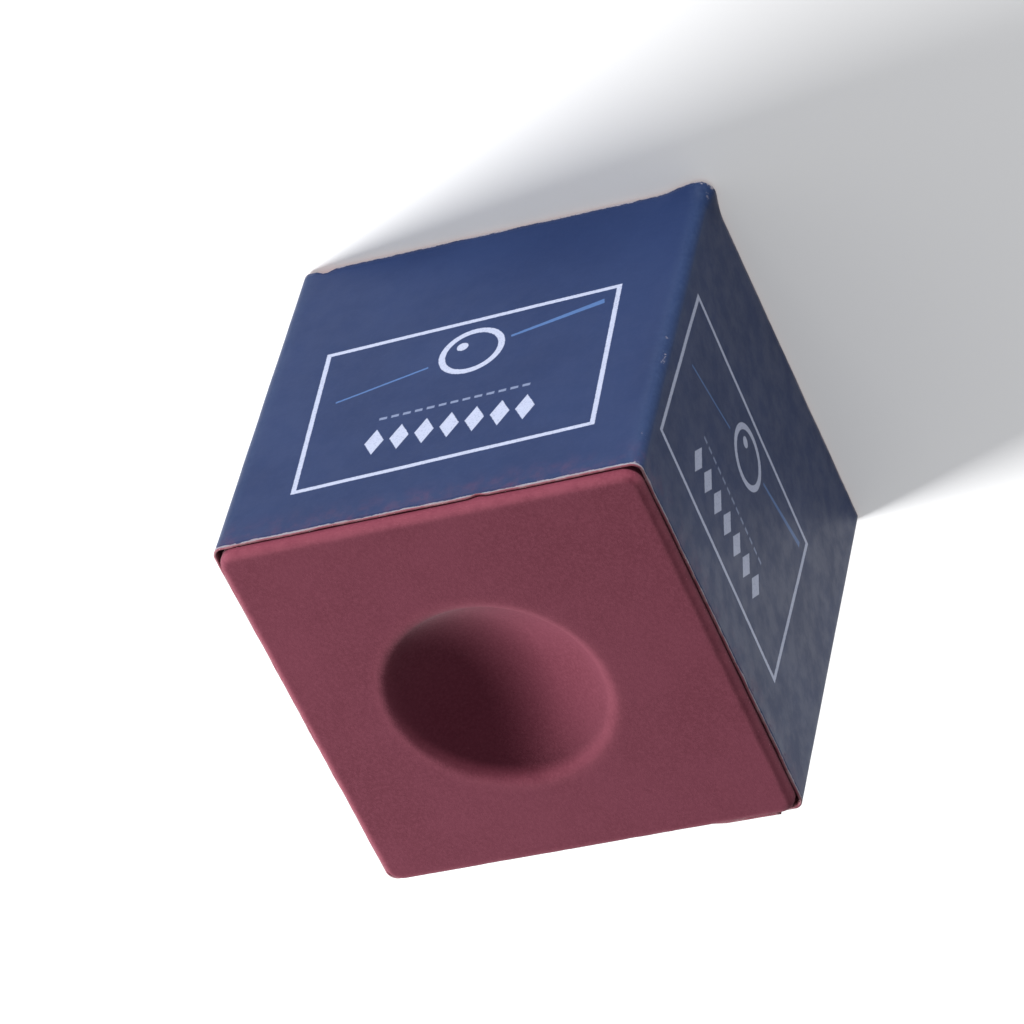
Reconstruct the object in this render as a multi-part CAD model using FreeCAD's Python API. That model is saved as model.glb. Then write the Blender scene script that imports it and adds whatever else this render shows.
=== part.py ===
"""Cue chalk cube: a pressed chalk block with a round tip dimple, and a paper label glued round its sides.

Frame, in millimetres: the origin is the centre of the base, +Z points out of the dimple face,
-Y is the front of the label and its lap joint is on the back, at +Y.
"""

import FreeCAD
import Part
import math
import os

# Driving dimensions
ACROSS = 22.0  # outside width over the label, front to back and side to side
HEIGHT = 22.0  # base to dimple face
PAPER = 0.12  # thickness of the label's paper
GLUE = 0.04  # thickness of the adhesive film behind the label

# Chalk block
BLOCK_SIDE = ACROSS - 2 * (PAPER + GLUE)
CORNER_R = 0.9  # upright corners of the block
RIM_R = 0.45  # round along the top edges, which stands clear of the label
FOOT_R = 0.35  # round along the base edges
DIMPLE_R = 5.5  # dimple radius where its ball meets the top face
DIMPLE_DEPTH = 3.0
DIMPLE_X, DIMPLE_Y = 0.7, 0.4  # the dimple is pressed a little off the middle of the face
LIP_R = 0.8  # round on the dimple's lip

# Side label: one strip that starts on the back, goes round the left, front and right, and laps over its start
LABEL_BOTTOM = 0.15
LABEL_TOP = HEIGHT - 0.5
FOLD_R = 0.4  # inside radius of each fold, sharper than the block's corner
STRIP_START_X = -7.0  # end of the strip that lies underneath
STRIP_END_X = -9.7  # end of the strip that lies on top
RAMP_LENGTH = 0.9  # length over which the strip climbs onto its own start
RAMP_GAP = 0.15  # space between the foot of the climb and the end underneath
LAP_GLUE = 0.03  # adhesive film inside the lap

# Adhesive films
FILM_INSET = 0.7  # how far each film stops short of the label's upper and lower edges
LAP_INSET = 0.2  # how far the lap's film stops short of the ends of the two layers


def point(x, y, z=0.0):
    return FreeCAD.Vector(x, y, z)


def chalk_block():
    """Rounded cube with a spherical dimple sunk in its top face."""
    half = BLOCK_SIDE / 2
    block = Part.makeBox(BLOCK_SIDE, BLOCK_SIDE, HEIGHT, point(-half, -half))
    upright = [e for e in block.Edges if abs(e.tangentAt(e.FirstParameter).z) > 0.99]
    block = block.makeFillet(CORNER_R, upright)
    for level, radius in ((HEIGHT, RIM_R), (0.0, FOOT_R)):
        level_edges = [e for e in block.Edges if at_level(e, level)]
        block = block.makeFillet(radius, level_edges)
    ball_r = (DIMPLE_R**2 + DIMPLE_DEPTH**2) / (2 * DIMPLE_DEPTH)
    ball_centre = point(DIMPLE_X, DIMPLE_Y, HEIGHT - DIMPLE_DEPTH + ball_r)
    block = block.cut(Part.makeSphere(ball_r, ball_centre))
    lip = [e for e in block.Edges if at_level(e, HEIGHT) and is_ring(e, DIMPLE_R)]
    return block.makeFillet(LIP_R, lip)


def at_level(edge, z):
    """True for an edge that lies flat at height z."""
    box = edge.BoundBox
    return abs(box.ZMin - z) < 1e-4 and abs(box.ZMax - z) < 1e-4


def is_ring(edge, radius):
    """True for a circular edge of that radius."""
    return isinstance(edge.Curve, Part.Circle) and abs(edge.Curve.Radius - radius) < 1e-3


def strip_corners():
    """Inside line of the label strip, seen from above, as (x, y, fold radius) from its start to its end."""
    inside = ACROSS / 2 - PAPER
    lifted = inside + PAPER + LAP_GLUE
    ramp_top = STRIP_START_X + RAMP_GAP
    ramp_foot = ramp_top + RAMP_LENGTH
    return [
        (STRIP_START_X, inside, 0.0),
        (-inside, inside, FOLD_R),
        (-inside, -inside, FOLD_R),
        (inside, -inside, FOLD_R),
        (inside, inside, FOLD_R),
        (ramp_foot, inside, 0.0),
        (ramp_top, lifted, 0.0),
        (STRIP_END_X, lifted, 0.0),
    ]


def offset_corners(corners, distance):
    """The same line moved to the right of its direction by distance, its folds growing to match."""
    points = [point(x, y) for x, y, _ in corners]
    ways = [(b - a).normalize() for a, b in zip(points, points[1:])]
    sides = [point(w.y, -w.x) for w in ways]
    moved = []
    for i, (start, (_, _, radius)) in enumerate(zip(points, corners)):
        before = sides[max(i - 1, 0)]
        after = sides[min(i, len(sides) - 1)]
        shift = (before + after) * (distance / (1 + before.dot(after)))
        moved.append((start.x + shift.x, start.y + shift.y, radius + distance if radius else 0.0))
    return moved


def rounded_line(corners):
    """Edges along a line of corners, each fold a tangent arc of its own radius."""
    points = [point(x, y) for x, y, _ in corners]
    edges, last = [], points[0]
    for before, here, after, (_, _, radius) in zip(points, points[1:], points[2:], corners[1:]):
        if not radius:
            edges.append(Part.LineSegment(last, here).toShape())
            last = here
            continue
        back = (before - here).normalize()
        ahead = (after - here).normalize()
        half_angle = back.getAngle(ahead) / 2
        reach = radius / math.tan(half_angle)
        arc_start, arc_end = here + back * reach, here + ahead * reach
        to_centre = (back + ahead).normalize()
        middle = here + to_centre * (radius / math.sin(half_angle) - radius)
        edges.append(Part.LineSegment(last, arc_start).toShape())
        edges.append(Part.Arc(arc_start, middle, arc_end).toShape())
        last = arc_end
    edges.append(Part.LineSegment(last, points[-1]).toShape())
    return edges


def side_label():
    """The label's paper strip, one closed solid from its start under the lap to its end on top."""
    inner = strip_corners()
    outer = offset_corners(inner, PAPER)
    caps = [
        Part.LineSegment(point(*inner[i][:2]), point(*outer[i][:2])).toShape()
        for i in (0, -1)
    ]
    outline = Part.Wire(Part.__sortEdges__(rounded_line(inner) + rounded_line(outer) + caps))
    section = Part.Face(outline)
    section.translate(point(0, 0, LABEL_BOTTOM))
    return section.extrude(point(0, 0, LABEL_TOP - LABEL_BOTTOM))


def glue_film(quarter_turns):
    """Adhesive film on one flat of the block: the front one, turned about the upright axis."""
    width = BLOCK_SIDE - 2 * CORNER_R
    low, high = LABEL_BOTTOM + FILM_INSET, LABEL_TOP - FILM_INSET
    film = Part.makeBox(width, GLUE, high - low, point(-width / 2, -BLOCK_SIDE / 2 - GLUE, low))
    film.rotate(point(0, 0), point(0, 0, 1), 90 * quarter_turns)
    return film


def lap_glue_film():
    """Adhesive film between the two layers of paper in the lap."""
    left, right = STRIP_END_X + LAP_INSET, STRIP_START_X - LAP_INSET
    low, high = LABEL_BOTTOM + FILM_INSET, LABEL_TOP - FILM_INSET
    return Part.makeBox(right - left, LAP_GLUE, high - low, point(left, ACROSS / 2, low))


def sub_parts():
    """Every sub-part, by name."""
    found = {"chalk_block": chalk_block(), "side_label": side_label()}
    for quarter_turns, side in enumerate(("front", "right", "back", "left")):
        found[f"glue_film_{side}"] = glue_film(quarter_turns)
    found["glue_film_lap"] = lap_glue_film()
    return found


os.makedirs("parts", exist_ok=True)
for name, shape in sub_parts().items():
    shape.exportStep(f"parts/{name}.step")
    print(f"{name}: {shape.Volume:.2f} mm3, {len(shape.Solids)} solid, valid {shape.isValid()}")
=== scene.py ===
"""Looks of the cue chalk cube: pressed red chalk with a tip dimple, in a worn navy paper label.

Lengths are in millimetres, except those of the floor, the lights and the camera's clipping, in metres.
The frame is the CAD model's: the base's centre is the origin, +Z points out of the dimple face, -Y is the
front of the label and the lap joint is on the back.
"""

import math

import bpy
import numpy as np
from mathutils import Matrix, Vector, noise


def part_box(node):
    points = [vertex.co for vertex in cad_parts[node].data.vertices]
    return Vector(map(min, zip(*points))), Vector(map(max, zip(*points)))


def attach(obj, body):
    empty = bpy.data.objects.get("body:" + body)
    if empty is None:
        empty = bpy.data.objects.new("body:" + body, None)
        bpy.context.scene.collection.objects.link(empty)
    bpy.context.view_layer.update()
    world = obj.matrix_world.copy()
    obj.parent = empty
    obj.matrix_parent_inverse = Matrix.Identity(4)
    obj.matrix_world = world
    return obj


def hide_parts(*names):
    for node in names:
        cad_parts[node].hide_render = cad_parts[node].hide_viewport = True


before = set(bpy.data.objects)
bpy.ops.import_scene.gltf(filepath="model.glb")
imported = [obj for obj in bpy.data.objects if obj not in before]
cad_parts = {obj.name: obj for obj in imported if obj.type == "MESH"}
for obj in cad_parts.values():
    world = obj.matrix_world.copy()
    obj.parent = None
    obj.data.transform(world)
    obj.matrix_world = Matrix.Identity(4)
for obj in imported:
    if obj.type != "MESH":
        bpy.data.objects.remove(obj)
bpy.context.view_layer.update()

MM = 0.001

# Sizes read from the frame
_, BLOCK_HIGH = (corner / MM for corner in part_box("chalk_block"))
LABEL_LOW, LABEL_HIGH = (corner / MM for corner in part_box("side_label"))
BLOCK_HALF = BLOCK_HIGH.x
HEIGHT = BLOCK_HIGH.z
LABEL_HALF = LABEL_HIGH.x

# Chalk block
CORNER_R = 0.9
RIM_R = 0.45
FOOT_R = 0.35
DIMPLE_R = 5.5
DIMPLE_DEPTH = 3.0
DIMPLE_CENTRE = (0.7, 0.4)
LIP_R = 0.8

# Points in each ring round the block, and rings over each part of it from the dimple to the base
RING_POINTS = 480
DIMPLE_RINGS = 61
LIP_RINGS = 9
TOP_RINGS = 39
RIM_RINGS = 12
SIDE_RINGS = 13
FOOT_RINGS = 7
BASE_RINGS = 22

# Chalk wear: rubbing is full up to the first distance from an edge and gone from the second on
RIM_RUB = (0.15, 0.55)
FOOT_RUB = (0.15, 0.8)
# On the dimple's lip the rubbing is partly real wear and partly a painted highlight of the lit rounded lip
LIP_RUB_AND_HIGHLIGHT = (0.1, 0.9)
LIP_RUB_AND_HIGHLIGHT_SHARE = 0.5
SWELL_DEPTH = 0.014
GRAIN_DEPTH = 0.004
PIT_DEPTH = 0.12
CRUMBLE_DEPTH = 0.035
NIBBLE_DEPTH = 0.03

# Label: one strip of paper
PAPER = 0.12
FOLD_R = 0.52  # outside radius of a fold
LAP_LIFT = 0.15  # how far the strip's last end stands off the face, on top of its start
STRIP_START_X = -7.0
STRIP_END_X = -9.7
RAMP_FOOT_X = -5.95
RAMP_TOP_X = -6.85
ROWS = 84  # points from the foot of the strip to its top
FLAT_SPACING = 0.25  # between columns of points on the flats
RAMP_SPACING = 0.1
RAMP_START_LIFT = 0.01
LAP_SPACING = 0.2
FOLD_STEPS = 12

# Label wear. A nick is its place along the strip and its half width
FOOT_WAVE = 0.03
TOP_WAVE = 0.04
TOP_NICK = (-2.8, 0.5)
TOP_NICK_DEPTH = 0.12
FOOT_NICK = (9.6, 0.7)
FOOT_NICK_DEPTH = 0.3
WAVE_DEPTH = 0.012
TOP_LIFT = 0.05
TOP_LIFT_REACH = 1.2
CREASE_DEPTH = 0.03
CREASE_FROM_FOLD = 0.9
CREASE_HALF_WIDTH = 0.5
EAR_LIFT = 0.32  # the dog-eared corner, at the foot of the front-left fold
EAR_HEIGHT = 1.8
EAR_HALF_WIDTH = 2.4
EAR_SHIFT = 0.3

# Print: one panel on each side, off the middle of the side by some mm and tilted by some degrees
PANEL_SHIFT = {"left": 1.95, "front": -0.1, "right": -1.8, "back": -2.0}
PANEL_TILT = {"left": -2.4, "front": 2.3, "right": 1.0, "back": 1.0}
PANEL_MIDDLE = 12.7
FRAME_HALF_WIDTH = 7.67
FRAME_HALF_HEIGHT = 5.3
FRAME_LINE = 0.25
BALL_CENTRE = (-0.3, -2.85)
BALL_SPOT = (BALL_CENTRE[0] + 0.55, BALL_CENTRE[1] - 0.5)

# Colours
CHALK_DEEP = (0.112, 0.0185, 0.034)
CHALK_RED = (0.13, 0.024, 0.043)
CHALK_GRAIN = (0.145, 0.03, 0.05)
CHALK_SPECK = (0.25, 0.08, 0.1)
CHALK_PORE = (0.06, 0.011, 0.016)
# Lighter powder on the rim and foot, and partly a painted highlight on the dimple's lip
CHALK_POWDER_AND_HIGHLIGHT = (0.25, 0.065, 0.09)
NAVY_DEEP = (0.0065, 0.0175, 0.064)
NAVY_PALE = (0.009, 0.0215, 0.073)
NAVY_FIBRE = (0.02, 0.034, 0.1)
NAVY_RUBBED = (0.025, 0.045, 0.1)
INK_BLUE = (0.06, 0.13, 0.3)
INK_GREY = (0.2, 0.24, 0.36)
INK_WHITE = (0.3, 0.33, 0.44)
PAPER_SCUFF = (0.36, 0.33, 0.36)
PAPER_DARK = (0.42, 0.39, 0.38)
PAPER_PALE = (0.55, 0.51, 0.5)
LABEL_DUST = (0.2, 0.05, 0.07)
PAPER_DUST = (0.24, 0.06, 0.085)
PASTE_DARK = (0.55, 0.48, 0.33)
PASTE_PALE = (0.7, 0.64, 0.5)
FLOOR_DARK = (0.74, 0.74, 0.74)
FLOOR_PALE = (0.77, 0.77, 0.77)
FLOOR_GLOW = (1.0, 1.0, 1.0)
SKY = (0.94, 0.96, 1.0)

# Camera
VIEW_TARGET = (1.34, -1.57, 10.48)
VIEW_ANGLES = (33.72, 48.43, 164.9)  # azimuth, elevation and roll in degrees
VIEW_DISTANCE = 264.8
LENS = 190.1


# ---------------------------------------------------------------- meshes

def lattice(point, size, seed):
    """Smooth noise from -1 to 1 with features of about that size."""
    return noise.noise(Vector(point) / size + Vector((seed, 2.7 * seed, -1.3 * seed)))


def above(value, level):
    """How far value rises above level, or 0 where it doesn't."""
    return max(value - level, 0.0)


def smoothstep(value, low, high):
    t = min(max((value - low) / (high - low), 0.0), 1.0)
    return t * t * (3 - 2 * t)


def bump_at(value, centre, half_width):
    """1 at centre, falling smoothly to 0 half_width away."""
    return 1 - smoothstep(abs(value - centre), 0.0, half_width)


def spaced(start, end, count):
    """count evenly spaced values after start, the last one being end."""
    return np.linspace(start, end, count + 1)[1:]


def make_object(name, points, faces, body="root"):
    """A mesh object from points in millimetres, riding on a CAD body."""
    mesh = bpy.data.meshes.new(name)
    mesh.from_pydata([tuple(p) for p in np.asarray(points) * MM], [], faces)
    mesh.validate()
    mesh.shade_smooth()
    piece = bpy.data.objects.new(name, mesh)
    bpy.context.scene.collection.objects.link(piece)
    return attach(piece, body)


def vertex_normals(mesh):
    normals = np.zeros(len(mesh.vertices) * 3)
    mesh.vertex_normals.foreach_get("vector", normals)
    return normals.reshape(-1, 3)


def ring_faces(ring_count, around):
    """Quads between neighbouring rings of points, and fans to a first and a last single point."""
    first = 1
    last = 1 + ring_count * around
    faces = []
    for i in range(around):
        j = (i + 1) % around
        faces.append((0, first + i, first + j))
        faces.append((last, last - around + j, last - around + i))
        for ring in range(ring_count - 1):
            a = first + ring * around
            b = a + around
            faces.append((a + i, b + i, b + j, a + j))
    return faces


# ---------------------------------------------------------------- chalk block

def block_outline():
    """Points evenly spaced round the block's rounded square, and their outward normals."""
    flat = 2 * (BLOCK_HALF - CORNER_R)
    quarter = flat + math.pi / 2 * CORNER_R
    points, normals = [], []
    for i in range(RING_POINTS):
        side, along = divmod(i * 4 * quarter / RING_POINTS, quarter)
        turn = side * math.pi / 2
        if along < flat:
            local, angle = (along - flat / 2, -BLOCK_HALF), -math.pi / 2
        else:
            angle = (along - flat) / CORNER_R - math.pi / 2
            local = (
                flat / 2 + CORNER_R * math.cos(angle),
                CORNER_R - BLOCK_HALF + CORNER_R * math.sin(angle),
            )
        c, s = math.cos(turn), math.sin(turn)
        points.append((c * local[0] - s * local[1], s * local[0] + c * local[1]))
        normals.append((math.cos(angle + turn), math.sin(angle + turn)))
    return np.array(points), np.array(normals)


def dimple_profile():
    """(radius, height) from just off the bottom of the dimple, over its lip, to the flat face."""
    ball_r = (DIMPLE_R**2 + DIMPLE_DEPTH**2) / (2 * DIMPLE_DEPTH)
    ball_z = HEIGHT - DIMPLE_DEPTH + ball_r
    lip_z = HEIGHT - LIP_R
    lip_x = math.sqrt((ball_r + LIP_R) ** 2 - (ball_z - lip_z) ** 2)
    steepest = math.asin(lip_x / (ball_r + LIP_R))
    wall = [
        (ball_r * math.sin(a), ball_z - ball_r * math.cos(a))
        for a in spaced(0, steepest, DIMPLE_RINGS)
    ]
    lip = [
        (lip_x - LIP_R * math.sin(a), lip_z + LIP_R * math.cos(a))
        for a in spaced(steepest, 0, LIP_RINGS)
    ]
    return wall + lip


def block_rings():
    """Every ring of the block from the dimple to the base, each a list of points."""
    outline, normals = block_outline()
    directions = outline / np.linalg.norm(outline, axis=1, keepdims=True)

    def at_height(flat_points, z):
        return np.column_stack([flat_points, np.full(len(flat_points), z)])

    rings = [at_height(directions * r + DIMPLE_CENTRE, z) for r, z in dimple_profile()]
    lip_edge = rings[-1][:, :2]
    rim_start = outline - normals * RIM_R
    for t in spaced(0, 1, TOP_RINGS):
        rings.append(at_height(lip_edge + (rim_start - lip_edge) * t, HEIGHT))
    for a in spaced(0, math.pi / 2, RIM_RINGS):
        inset = RIM_R * (1 - math.sin(a))
        rings.append(at_height(outline - normals * inset, HEIGHT - RIM_R * (1 - math.cos(a))))
    for z in spaced(HEIGHT - RIM_R, FOOT_R, SIDE_RINGS):
        rings.append(at_height(outline, z))
    for a in spaced(0, math.pi / 2, FOOT_RINGS):
        inset = FOOT_R * (1 - math.cos(a))
        rings.append(at_height(outline - normals * inset, FOOT_R * (1 - math.sin(a))))
    base_edge = rings[-1][:, :2]
    for t in spaced(1, 0, BASE_RINGS + 1)[:-1]:
        rings.append(at_height(base_edge * t, 0.0))
    return rings


def rub_and_lip_highlight_amount(point):
    """1 on the block's rim and foot, where the chalk rubs and crumbles, less on the lip, where its lighter
    powder colour is partly a painted highlight, and 0 elsewhere.
    """
    x, y, z = point
    reach = max(abs(x), abs(y))
    to_rim = math.hypot(max(BLOCK_HALF - reach, 0.0), HEIGHT - z)
    to_foot = math.hypot(max(BLOCK_HALF - reach, 0.0), z)
    from_centre = math.hypot(x - DIMPLE_CENTRE[0], y - DIMPLE_CENTRE[1])
    to_lip = math.hypot(from_centre - DIMPLE_R, HEIGHT - z)
    return max(
        1 - smoothstep(to_rim, *RIM_RUB),
        1 - smoothstep(to_foot, *FOOT_RUB),
        LIP_RUB_AND_HIGHLIGHT_SHARE * (1 - smoothstep(to_lip, *LIP_RUB_AND_HIGHLIGHT)),
    )


def wear_depth(point, rub_and_lip_highlight):
    """How far the chalk has worn in from its moulded shape."""
    swell = 0.5 + 0.5 * lattice(point, size=3.5, seed=1.0)
    grain = 0.5 + 0.5 * lattice(point, size=0.45, seed=2.0)
    crumble = above(lattice(point, size=1.1, seed=3.0), 0.12)
    nibble = above(lattice(point, size=0.5, seed=4.0), 0.2)
    pit = above(lattice(point, size=0.6, seed=5.0), 0.6)
    everywhere = SWELL_DEPTH * swell + GRAIN_DEPTH * grain + PIT_DEPTH * pit
    return everywhere + rub_and_lip_highlight * (CRUMBLE_DEPTH * crumble + NIBBLE_DEPTH * nibble)


def chalk_block():
    rings = block_rings()
    points = np.vstack([[(*DIMPLE_CENTRE, HEIGHT - DIMPLE_DEPTH)], *rings, [(0, 0, 0)]])
    piece = make_object("chalk_block_worn", points, ring_faces(len(rings), RING_POINTS))
    mesh = piece.data
    rub_and_highlight_values = np.array([rub_and_lip_highlight_amount(p) for p in points])
    depths = np.array([wear_depth(p, rub_and_lip_highlight) for p, rub_and_lip_highlight in zip(points, rub_and_highlight_values)])
    worn = points - vertex_normals(mesh) * depths[:, None]
    mesh.vertices.foreach_set("co", (worn * MM).ravel())
    mesh.update()
    rub_and_highlight_layer = mesh.attributes.new("rub_and_lip_highlight", "FLOAT", "POINT")
    rub_and_highlight_layer.data.foreach_set("value", rub_and_highlight_values)
    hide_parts("chalk_block")
    return piece


# ---------------------------------------------------------------- label

def strip_path():
    """The strip's outside line from start to end, seen from above: [(x, y, outward normal, side)]."""
    path = []

    def flat(start, end, normal, side, spacing=FLAT_SPACING):
        count = max(2, round(math.dist(start, end) / spacing) + 1)
        for t in np.linspace(0, 1, count):
            x = start[0] + (end[0] - start[0]) * t
            y = start[1] + (end[1] - start[1]) * t
            path.append((x, y, normal, side))

    def fold(centre, start_angle, sides):
        for k in range(1, FOLD_STEPS):
            angle = start_angle + math.pi / 2 * k / FOLD_STEPS
            normal = (math.cos(angle), math.sin(angle))
            x = centre[0] + FOLD_R * normal[0]
            y = centre[1] + FOLD_R * normal[1]
            path.append((x, y, normal, sides[0] if k < FOLD_STEPS / 2 else sides[1]))

    h = LABEL_HALF
    f = LABEL_HALF - FOLD_R
    lap_y = h + LAP_LIFT
    flat((STRIP_START_X, h), (-f, h), (0, 1), "back")
    fold((-f, f), math.pi / 2, ("back", "left"))
    flat((-h, f), (-h, -f), (-1, 0), "left")
    fold((-f, -f), math.pi, ("left", "front"))
    flat((-f, -h), (f, -h), (0, -1), "front")
    fold((f, -f), -math.pi / 2, ("front", "right"))
    flat((h, -f), (h, f), (1, 0), "right")
    fold((f, f), 0.0, ("right", "back"))
    flat((f, h), (RAMP_FOOT_X, h), (0, 1), "back")
    ramp_start = (RAMP_FOOT_X - RAMP_SPACING, h + RAMP_START_LIFT)
    flat(ramp_start, (RAMP_TOP_X, lap_y), (0, 1), "back", RAMP_SPACING)
    flat((RAMP_TOP_X - RAMP_SPACING, lap_y), (STRIP_END_X, lap_y), (0, 1), "back", LAP_SPACING)
    return path


def path_distances(path):
    """Distance along the paper at each point of the path, from the middle of the front."""
    steps = [math.dist(a[:2], b[:2]) for a, b in zip(path, path[1:])]
    along = np.concatenate([[0.0], np.cumsum(steps)])
    front = [s for s, p in zip(along, path) if p[3] == "front" and abs(p[0]) < LABEL_HALF - FOLD_R]
    return along - (front[0] + front[-1]) / 2


class Strip:
    """The label's strip of paper. Distances run along it and are 0 in the middle of the front."""

    def __init__(self):
        self.path = strip_path()
        self.along = path_distances(self.path)
        self.pitch = 2 * (LABEL_HALF - FOLD_R) + math.pi / 2 * FOLD_R  # from one side to the next
        self.folds = [self.pitch * k for k in (-1.5, -0.5, 0.5, 1.5)]
        self.lap_edge = self.along[0] + STRIP_START_X - STRIP_END_X  # where its start comes out of the lap

    def from_fold(self, s):
        return min(abs(s - fold) for fold in self.folds)

    def side_middle(self, side, s):
        """Distance of a side's middle. The back has two, one at each end of the strip."""
        sides_away = {"left": -1, "front": 0, "right": 1, "back": -2 if s < 0 else 2}
        return self.pitch * sides_away[side]

    def height(self, share, s):
        """Height at a share of the way up the strip, between its two wavy and nicked cut edges."""
        low = LABEL_LOW.z + FOOT_WAVE + FOOT_WAVE * lattice((s, 0, 0), size=2.3, seed=11.0)
        high = LABEL_HIGH.z - TOP_WAVE + TOP_WAVE * lattice((s, 5, 0), size=2.7, seed=12.0)
        high -= TOP_NICK_DEPTH * bump_at(s, *TOP_NICK)
        low += FOOT_NICK_DEPTH * bump_at(s, *FOOT_NICK)
        return low + (high - low) * share

    def stand_off(self, s, z):
        """How far the paper stands off its even face: small waves, raised edges and a dog-eared corner."""
        near_top = 1 - smoothstep(LABEL_HIGH.z - z, 0, TOP_LIFT_REACH)
        near_foot = 1 - smoothstep(z, 0, EAR_HEIGHT)
        near_fold = bump_at(self.from_fold(s), CREASE_FROM_FOLD, CREASE_HALF_WIDTH)
        wave = WAVE_DEPTH * lattice((s, z, 0), size=3.0, seed=13.0)
        top_lift = TOP_LIFT * near_top * above(lattice((s, 0, 3), size=2.0, seed=14.0), -0.2)
        crease = CREASE_DEPTH * near_fold * lattice((s, z, 7), size=1.8, seed=15.0)
        ear = EAR_LIFT * near_foot * bump_at(s, self.folds[1] + EAR_SHIFT, EAR_HALF_WIDTH)
        out_of_lap = smoothstep(s, self.lap_edge, self.lap_edge + 1.0)  # 0 where the last end holds it flat
        return ear + out_of_lap * (wave + top_lift + crease)

    def points(self):
        """Points of the printed side, column by column and each from the foot up, and then of the back."""
        printed, behind = [], []
        for (x, y, normal, _), s in zip(self.path, self.along):
            for row in range(ROWS):
                z = self.height(row / (ROWS - 1), s)
                off = self.stand_off(s, z)
                printed.append((x + normal[0] * off, y + normal[1] * off, z))
                behind.append((x + normal[0] * (off - PAPER), y + normal[1] * (off - PAPER), z))
        return printed + behind

    def faces(self):
        """The printed faces, column by column, and the plain ones of the back and the cut edges."""
        last, top = len(self.path) - 1, ROWS - 1
        behind = len(self.path) * ROWS

        def at(column, row):
            return column * ROWS + row

        def cut_edge(a, b):
            return (a, behind + a, behind + b, b)

        printed, plain = [], []
        for c in range(last):
            for r in range(top):
                quad = (at(c, r), at(c + 1, r), at(c + 1, r + 1), at(c, r + 1))
                printed.append(quad)
                plain.append(tuple(behind + v for v in reversed(quad)))
            plain.append(cut_edge(at(c, 0), at(c + 1, 0)))
            plain.append(cut_edge(at(c + 1, top), at(c, top)))
        plain += [cut_edge(at(0, r + 1), at(0, r)) for r in range(top)]
        plain += [cut_edge(at(last, r), at(last, r + 1)) for r in range(top)]
        return printed, plain

    def panel_places(self, mesh, points, printed_count):
        """Place on its side's tilted panel of every corner of the printed faces, and 0 for the rest."""
        places = np.zeros((len(mesh.loops), 3))
        for i in range(printed_count):
            column = i // (ROWS - 1)
            side = self.path[column + 1][3]
            middle = self.side_middle(side, self.along[column]) + PANEL_SHIFT[side]
            tilt = math.radians(PANEL_TILT[side])
            for loop in mesh.polygons[i].loop_indices:
                vertex = mesh.loops[loop].vertex_index
                u = self.along[vertex // ROWS] - middle
                v = points[vertex][2] - PANEL_MIDDLE
                places[loop] = (
                    u * math.cos(tilt) + v * math.sin(tilt),
                    v * math.cos(tilt) - u * math.sin(tilt),
                    0,
                )
        return places

    def edge_distances(self, points):
        """Every point's distance from the nearest fold, from the top edge and from the foot edge."""
        one_face = len(self.path) * ROWS
        return np.array([
            (self.from_fold(self.along[i % one_face // ROWS]), LABEL_HIGH.z - z, z - LABEL_LOW.z)
            for i, (_, _, z) in enumerate(points)
        ])


def add_vectors(mesh, name, domain, vectors):
    layer = mesh.attributes.new(name, "FLOAT_VECTOR", domain)
    layer.data.foreach_set("vector", vectors.ravel())


def side_label():
    strip = Strip()
    points = strip.points()
    printed, plain = strip.faces()
    piece = make_object("side_label_paper", points, printed + plain)
    mesh = piece.data
    for polygon in mesh.polygons[len(printed):]:
        polygon.material_index = 1
    add_vectors(mesh, "print_mm", "CORNER", strip.panel_places(mesh, points, len(printed)))
    add_vectors(mesh, "wear_mm", "POINT", strip.edge_distances(points))
    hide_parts("side_label")
    return piece


# ---------------------------------------------------------------- materials

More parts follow.
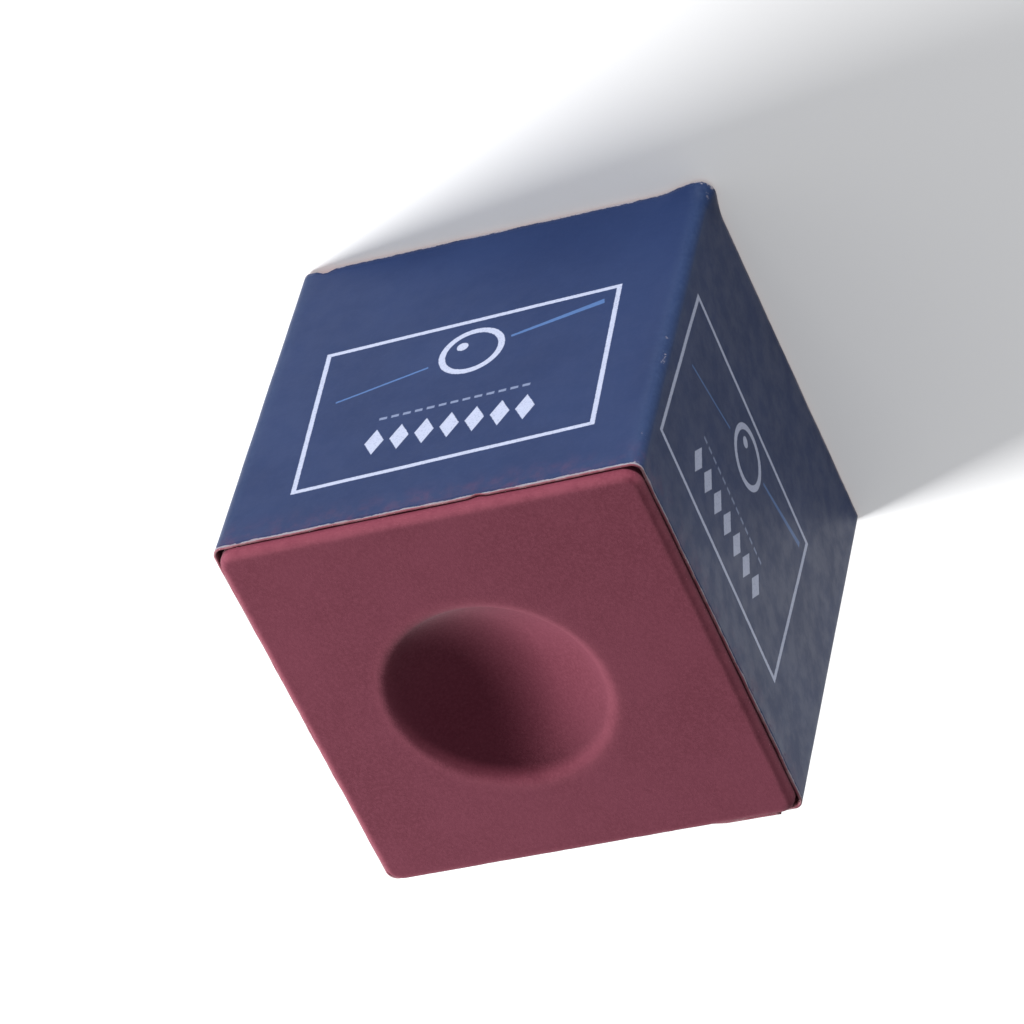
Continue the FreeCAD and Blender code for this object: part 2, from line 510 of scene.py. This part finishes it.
class Surface:
    """One material's node tree, built with short calls. Coordinates are in millimetres."""

    def __init__(self, name):
        self.material = bpy.data.materials.new(name)
        self.material.use_nodes = True
        self.tree = self.material.node_tree
        self.shader = self.tree.nodes["Principled BSDF"]
        where = self.tree.nodes.new("ShaderNodeTexCoord")
        to_mm = self.tree.nodes.new("ShaderNodeVectorMath")
        to_mm.operation = "SCALE"
        to_mm.inputs["Scale"].default_value = 1 / MM
        self.link(where.outputs["Object"], to_mm.inputs[0])
        self.place = to_mm.outputs[0]

    def link(self, value, socket):
        """Feed a socket from another socket, a colour or a number."""
        if isinstance(value, bpy.types.NodeSocket):
            self.tree.links.new(value, socket)
        elif isinstance(value, tuple):
            socket.default_value = (*value, 1.0)
        else:
            socket.default_value = value

    def math(self, operation, *values):
        node = self.tree.nodes.new("ShaderNodeMath")
        node.operation = operation
        for value, socket in zip(values, node.inputs):
            self.link(value, socket)
        return node.outputs[0]

    def plus(self, a, b):
        return self.math("ADD", a, b)

    def minus(self, a, b):
        return self.math("SUBTRACT", a, b)

    def times(self, a, b):
        return self.math("MULTIPLY", a, b)

    def larger(self, a, b):
        return self.math("MAXIMUM", a, b)

    def size_of(self, value):
        return self.math("ABSOLUTE", value)

    def attribute(self, name):
        node = self.tree.nodes.new("ShaderNodeAttribute")
        node.attribute_name = name
        return node

    def split(self, vector):
        node = self.tree.nodes.new("ShaderNodeSeparateXYZ")
        self.link(vector, node.inputs[0])
        return node.outputs[0], node.outputs[1], node.outputs[2]

    def noise(self, size, detail=2.0, roughness=0.5):
        """Noise from 0 to 1 with features of about that size."""
        node = self.tree.nodes.new("ShaderNodeTexNoise")
        self.link(self.place, node.inputs["Vector"])
        node.inputs["Scale"].default_value = 1 / size
        node.inputs["Detail"].default_value = detail
        node.inputs["Roughness"].default_value = roughness
        return node.outputs["Fac"]

    def ramp(self, value, low, high, to_low=0.0, to_high=1.0):
        """value mapped from low..high to to_low..to_high, clamped and smooth at both ends."""
        node = self.tree.nodes.new("ShaderNodeMapRange")
        node.interpolation_type = "SMOOTHSTEP"
        for number, socket in zip((value, low, high, to_low, to_high), node.inputs):
            self.link(number, socket)
        return node.outputs[0]

    def fade(self, distance, near, far, amount=1.0):
        """amount as far as near, falling smoothly to 0 at far."""
        return self.ramp(distance, near, far, amount, 0.0)

    def mix(self, factor, a, b):
        node = self.tree.nodes.new("ShaderNodeMix")
        node.data_type = "RGBA"
        self.link(factor, node.inputs[0])
        self.link(a, node.inputs[6])
        self.link(b, node.inputs[7])
        return node.outputs[2]

    def bump(self, height, depth):
        """Bump of that depth in millimetres."""
        node = self.tree.nodes.new("ShaderNodeBump")
        node.inputs["Strength"].default_value = 1.0
        node.inputs["Distance"].default_value = depth * MM
        self.link(height, node.inputs["Height"])
        return node.outputs[0]

    def finish(self, **sockets):
        """Set the shader's own sockets, whose names have spaces for the underscores."""
        for name, value in sockets.items():
            self.link(value, self.shader.inputs[name.replace("_", " ")])
        return self.material


def chalk_material():
    s = Surface("pressed_chalk")
    broad = s.noise(5.0, 3.0, 0.6)
    grain = s.noise(0.16, 3.0, 0.7)
    fine = s.noise(0.05, 2.0, 0.6)
    base = s.mix(s.ramp(broad, 0.3, 0.7), CHALK_DEEP, CHALK_RED)
    base = s.mix(s.ramp(grain, 0.35, 0.75), base, CHALK_GRAIN)
    specks = s.ramp(fine, 0.62, 0.74, 0.0, 0.35)
    base = s.mix(specks, base, CHALK_SPECK)
    pores = s.ramp(s.noise(0.22, 2.0, 0.6), 0.68, 0.78, 0.0, 0.35)
    base = s.mix(pores, base, CHALK_PORE)
    rub_and_lip_highlight = s.attribute("rub_and_lip_highlight").outputs["Fac"]
    # Lighter powder on the rubbed rim and foot; on the dimple's lip it is partly a painted highlight
    powder_and_lip_highlight = s.times(rub_and_lip_highlight, s.ramp(s.noise(0.7, 4.0, 0.65), 0.2, 0.6, 0.3, 1.0))
    base = s.mix(s.times(powder_and_lip_highlight, 0.42), base, CHALK_POWDER_AND_HIGHLIGHT)
    height = s.plus(s.times(grain, 0.7), s.times(fine, 0.3))
    return s.finish(
        Base_Color=base,
        Roughness=0.92,
        Specular_IOR_Level=0.12,
        Sheen_Weight=0.05,
        Sheen_Roughness=0.6,
        Normal=s.bump(height, 0.022),
    )


class Print:
    """Shapes of ink on the label, each a mask from 0 to 1, in the panel's own millimetres."""

    SOFT = 0.02  # half the width of an ink edge
    WOBBLE = 0.05  # the whole width over which the ink's ragged edges stray

    def __init__(self, surface):
        self.s = surface
        u, v, _ = surface.split(surface.attribute("print_mm").outputs["Vector"])
        stray = surface.times(surface.minus(surface.noise(0.12), 0.5), self.WOBBLE)
        self.u = surface.plus(u, stray)
        self.v = surface.plus(v, stray)

    def below(self, value, limit):
        return self.s.ramp(value, limit - self.SOFT, limit + self.SOFT, 1.0, 0.0)

    def box_outline(self, half_width, half_height, line):
        s = self.s
        across = s.minus(s.size_of(self.u), half_width)
        upright = s.minus(s.size_of(self.v), half_height)
        return self.below(s.size_of(s.larger(across, upright)), line / 2)

    def ring(self, centre, radius, line):
        return self.below(self.s.size_of(self.from_circle(centre, radius)), line / 2)

    def disc(self, centre, radius):
        return self.below(self.from_circle(centre, radius), 0.0)

    def from_circle(self, centre, radius):
        """Distance outside a circle, which is negative inside it."""
        s = self.s
        du, dv = s.minus(self.u, centre[0]), s.minus(self.v, centre[1])
        distance = s.math("SQRT", s.plus(s.times(du, du), s.times(dv, dv)))
        return s.minus(distance, radius)

    def from_nearest(self, pitch, count):
        """Distance across from the nearest of count marks, centred on the panel, pitch apart."""
        s = self.s
        reach = (count - 1) / 2
        offset = reach % 1
        index = s.plus(s.math("ROUND", s.minus(s.math("DIVIDE", self.u, pitch), offset)), offset)
        index = s.math("MINIMUM", s.larger(index, -reach), reach)
        return s.size_of(s.minus(self.u, s.times(index, pitch)))

    def diamonds(self, pitch, count, middle, half_width, half_height):
        s = self.s
        du = s.math("DIVIDE", self.from_nearest(pitch, count), half_width)
        dv = s.math("DIVIDE", s.size_of(s.minus(self.v, middle)), half_height)
        share_outside = s.minus(s.plus(du, dv), 1.0)
        outside = s.times(share_outside, half_width * 0.8)  # roughly in millimetres, across a side
        return self.below(outside, 0.0)

    def dashes(self, pitch, count, middle, half_length, half_height):
        s = self.s
        du = s.minus(self.from_nearest(pitch, count), half_length)
        dv = s.minus(s.size_of(s.minus(self.v, middle)), half_height)
        return self.below(s.larger(du, dv), 0.0)

    def stroke(self, start, end, start_width, end_width):
        """A straight line that tapers from one width to another."""
        s = self.s
        length = math.dist(start, end)
        along = ((end[0] - start[0]) / length, (end[1] - start[1]) / length)
        du, dv = s.minus(self.u, start[0]), s.minus(self.v, start[1])
        t = s.plus(s.times(du, along[0]), s.times(dv, along[1]))
        off = s.size_of(s.minus(s.times(du, along[1]), s.times(dv, along[0])))
        half = s.plus(s.times(t, (end_width - start_width) / 2 / length), start_width / 2)
        past = s.larger(s.times(t, -1.0), s.minus(t, length))
        return self.below(s.larger(s.minus(off, half), past), 0.0)


def navy_paper(s, fibre):
    """The label's navy, a little uneven and with paler fibres."""
    broad = s.noise(6.0, 3.0, 0.6)
    navy = s.mix(s.ramp(broad, 0.3, 0.7), NAVY_DEEP, NAVY_PALE)
    return s.mix(s.ramp(fibre, 0.45, 0.8, 0.0, 0.25), navy, NAVY_FIBRE)


def white_ink(ink):
    """Mask of everything printed in white: the frame line, the diamonds, and the ring with its spot."""
    s = ink.s
    frame_line = ink.box_outline(FRAME_HALF_WIDTH, FRAME_HALF_HEIGHT, FRAME_LINE)
    diamonds = ink.diamonds(pitch=1.3, count=7, middle=2.75, half_width=0.5, half_height=0.95)
    white = s.larger(frame_line, diamonds)
    white = s.larger(white, ink.ring(BALL_CENTRE, radius=1.55, line=0.34))
    return s.larger(white, ink.disc(BALL_SPOT, radius=0.3))


def with_print(ink, base, white, to_fold):
    """The base colour with the motif printed over it, thin in places and worn off the folds."""
    s = ink.s
    cue = ink.stroke((-7.0, -4.35), (-2.3, -3.3), start_width=0.34, end_width=0.16)
    path_line = ink.stroke((1.9, -2.3), (6.6, -1.2), start_width=0.12, end_width=0.12)
    dashes = ink.dashes(pitch=0.62, count=13, middle=1.0, half_length=0.2, half_height=0.09)
    coverage = s.ramp(s.noise(0.09), 0.25, 0.5, 0.72, 1.0)
    coverage = s.times(coverage, s.ramp(to_fold, 0.35, 0.8, 0.1, 1.0))
    printed = s.mix(s.times(cue, 0.7), base, INK_BLUE)
    printed = s.mix(s.times(path_line, 0.7), printed, INK_BLUE)
    printed = s.mix(s.times(dashes, 0.6), printed, INK_GREY)
    return s.mix(s.times(white, coverage), printed, INK_WHITE)


def scuffed_bare(s, to_fold, to_top, to_foot):
    """Mask of where the print is scuffed through to the paper, mostly at edges, corners and folds."""
    patches = s.ramp(s.noise(4.0, 1.0), 0.45, 0.65, -0.12, 0.05)
    edges = s.larger(s.fade(to_top, 0.0, 0.35, 0.75), s.fade(to_foot, 0.0, 0.3, 0.6))
    to_corner = s.plus(to_fold, s.math("MINIMUM", to_top, to_foot))
    corners = s.fade(to_corner, 0.3, 0.8, 0.45)
    folds = s.plus(s.fade(to_fold, 0.0, 0.7, 0.3), patches)
    wear = s.larger(s.larger(edges, corners), folds)
    return s.ramp(s.plus(s.noise(0.7, 6.0, 0.72), wear), 0.93, 1.03)


def label_material():
    s = Surface("printed_label")
    to_fold, to_top, to_foot = s.split(s.attribute("wear_mm").outputs["Vector"])
    fibre = s.noise(0.25, 4.0, 0.7)
    ink = Print(s)
    white = white_ink(ink)
    printed = with_print(ink, navy_paper(s, fibre), white, to_fold)
    rubbed = s.times(s.fade(to_fold, 0.1, 0.9), s.ramp(fibre, 0.3, 0.7, 0.2, 0.5))
    printed = s.mix(rubbed, printed, NAVY_RUBBED)
    bare = scuffed_bare(s, to_fold, to_top, to_foot)
    printed = s.mix(s.times(bare, 0.7), printed, PAPER_SCUFF)
    dust = s.times(s.fade(to_top, 0.0, 2.2), s.ramp(s.noise(0.8, 5.0, 0.7), 0.4, 0.75))
    printed = s.mix(s.times(dust, 0.2), printed, LABEL_DUST)
    rough = s.ramp(s.noise(1.2, 4.0, 0.6), 0.3, 0.7, 0.36, 0.48)
    rough = s.larger(rough, s.times(s.larger(bare, dust), 0.8))
    raised = s.plus(s.times(fibre, 0.8), s.times(white, 0.3))
    return s.finish(
        Base_Color=printed,
        Roughness=rough,
        Specular_IOR_Level=0.14,
        Normal=s.bump(s.minus(raised, bare), 0.006),
    )


def paper_material():
    """The paper's bare back and cut edges, pink where chalk has rubbed off on them."""
    s = Surface("bare_paper")
    fibre = s.noise(0.12, 4.0, 0.7)
    paper = s.mix(s.ramp(fibre, 0.3, 0.7), PAPER_DARK, PAPER_PALE)
    dusty = s.ramp(s.noise(0.6, 4.0, 0.6), 0.3, 0.6, 0.7, 0.97)
    return s.finish(
        Base_Color=s.mix(dusty, paper, PAPER_DUST),
        Roughness=0.9,
        Specular_IOR_Level=0.3,
        Normal=s.bump(fibre, 0.015),
    )


def glue_material():
    s = Surface("dried_paste")
    streaks = s.noise(0.9, 4.0, 0.6)
    return s.finish(
        Base_Color=s.mix(streaks, PASTE_DARK, PASTE_PALE),
        Roughness=s.ramp(streaks, 0.3, 0.7, 0.35, 0.6),
        Normal=s.bump(streaks, 0.01),
    )


def floor_material():
    s = Surface("studio_floor")
    return s.finish(
        Base_Color=s.mix(s.noise(60.0), FLOOR_DARK, FLOOR_PALE),
        Roughness=0.8,
        Emission_Color=FLOOR_GLOW,
        Emission_Strength=0.22,
    )


# ---------------------------------------------------------------- stage

def studio_floor():
    bpy.ops.mesh.primitive_circle_add(vertices=96, radius=3.0, fill_type="NGON", location=(0, 0, 0))
    floor = bpy.context.object
    floor.name = "studio_floor"
    floor.data.materials.append(floor_material())


def area_light(name, direction, distance, size, power):
    """A soft rectangle of light that many metres from the middle of the object, facing it."""
    light = bpy.data.lights.new(name, "AREA")
    light.shape = "RECTANGLE"
    light.size, light.size_y = size
    light.energy = power
    lamp = bpy.data.objects.new(name, light)
    target = Vector((0, 0, HEIGHT / 2 * MM))
    lamp.location = target + Vector(direction).normalized() * distance
    lamp.rotation_euler = (target - lamp.location).to_track_quat("-Z", "Y").to_euler()
    bpy.context.scene.collection.objects.link(lamp)


def studio_light():
    area_light("key_light", direction=(0.86, 0.2, 0.5), distance=0.24, size=(0.07, 0.07), power=1.08)
    area_light("front_strip", direction=(-0.1, -0.99, 0.035), distance=0.5, size=(0.4, 0.05), power=3.7)
    world = bpy.data.worlds.new("studio_world")
    world.use_nodes = True
    background = world.node_tree.nodes["Background"]
    background.inputs["Color"].default_value = (*SKY, 1.0)
    background.inputs["Strength"].default_value = 0.38
    bpy.context.scene.world = world
    bpy.context.scene.view_settings.view_transform = "Standard"


def camera():
    """The photograph's view: from above the front-left corner, rolled until the dimple faces down."""
    azimuth, elevation, roll = (math.radians(angle) for angle in VIEW_ANGLES)
    forward = Vector((
        math.sin(azimuth) * math.cos(elevation),
        math.cos(azimuth) * math.cos(elevation),
        -math.sin(elevation),
    ))
    level_right = forward.cross(Vector((0, 0, 1))).normalized()
    level_up = level_right.cross(forward)
    up = level_up * math.cos(roll) + level_right * math.sin(roll)
    right = forward.cross(up)
    lens = bpy.data.cameras.new("camera")
    lens.lens = LENS
    lens.clip_start = 0.005
    lens.clip_end = 20.0
    eye = bpy.data.objects.new("camera", lens)
    eye.location = (Vector(VIEW_TARGET) - forward * VIEW_DISTANCE) * MM
    eye.rotation_euler = Matrix((right, up, -forward)).transposed().to_euler()
    bpy.context.scene.collection.objects.link(eye)
    bpy.context.scene.camera = eye


def main():
    block = chalk_block()
    block.data.materials.append(chalk_material())
    label = side_label()
    label.data.materials.append(label_material())
    label.data.materials.append(paper_material())
    glue = glue_material()
    for name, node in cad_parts.items():
        if name.startswith("glue_film"):
            node.data.materials.clear()
            node.data.materials.append(glue)
    studio_floor()
    studio_light()
    camera()


main()
